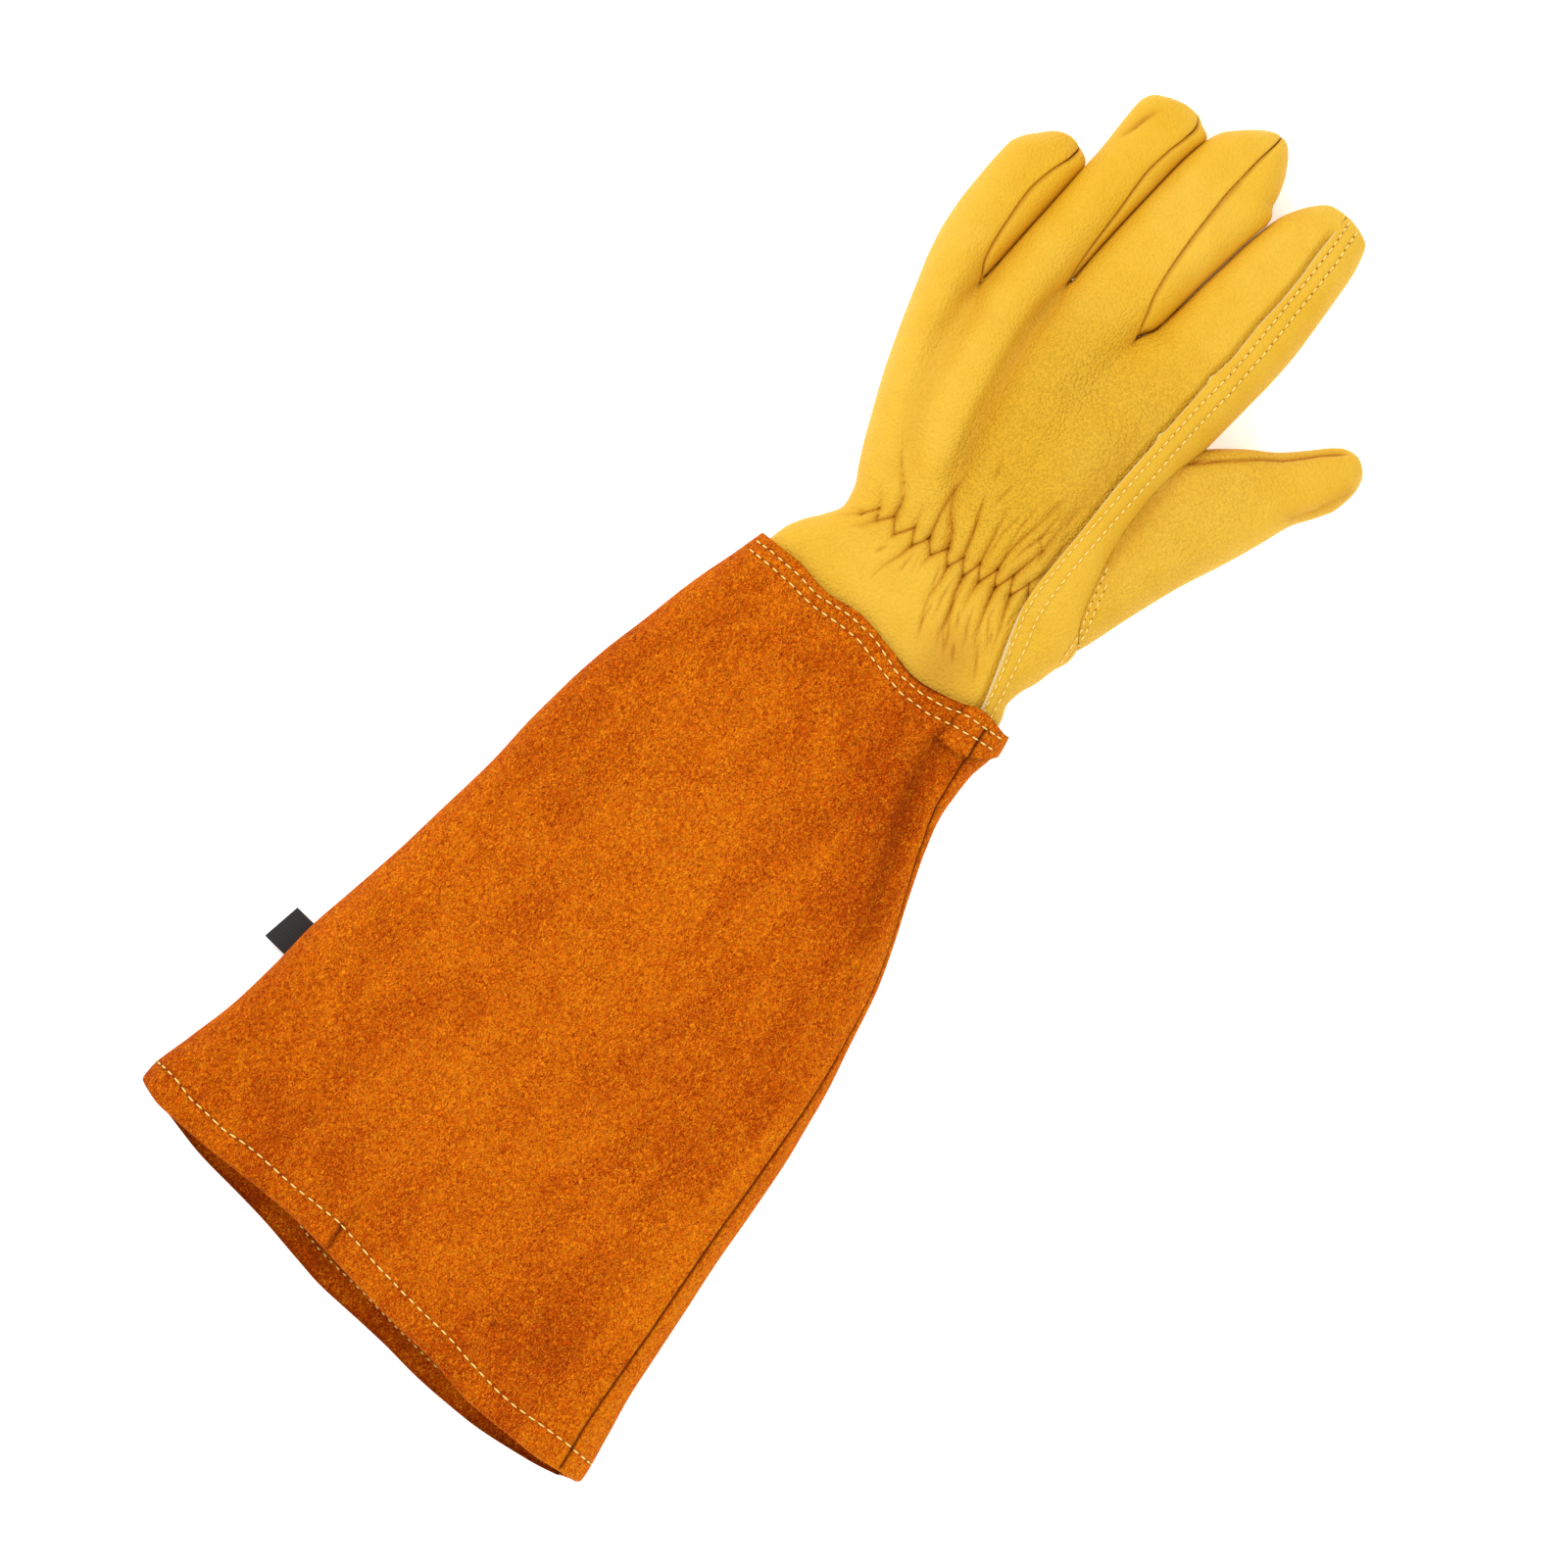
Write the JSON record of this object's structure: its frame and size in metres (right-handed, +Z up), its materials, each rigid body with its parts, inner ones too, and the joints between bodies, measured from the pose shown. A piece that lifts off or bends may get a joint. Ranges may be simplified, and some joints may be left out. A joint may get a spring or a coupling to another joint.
{
  "type": "gardening glove",
  "caption": "Left-hand leather gardening glove with a grain leather hand, a gathered wrist and a long suede gauntlet that shields the forearm from thorns.",
  "frame": {"origin": "middle of the glove's footprint, on the surface that it lies on", "axes": "+X toward the thumb's side, +Y from the gauntlet's hem toward the fingertips, +Z up from the palm to the back of the hand"},
  "size_m": [0.176, 0.4462, 0.0272],
  "materials": {
    "grain_leather": "yellow pebbled grain leather, half matt",
    "suede": "orange-brown split suede, matt and mottled",
    "woven_label": "black woven tab, matt"
  },
  "bodies": {
    "root": {"hand_back": "grain_leather", "palm": "grain_leather", "ring_front": "grain_leather", "middle_front": "grain_leather", "fourchette_little_ring": "grain_leather", "fourchette_ring_middle": "grain_leather", "fourchette_middle_index": "grain_leather", "thumb": "grain_leather", "gauntlet_back": "suede", "gauntlet_palm": "suede", "size_label": "woven_label"}
  },
  "joints": []
}
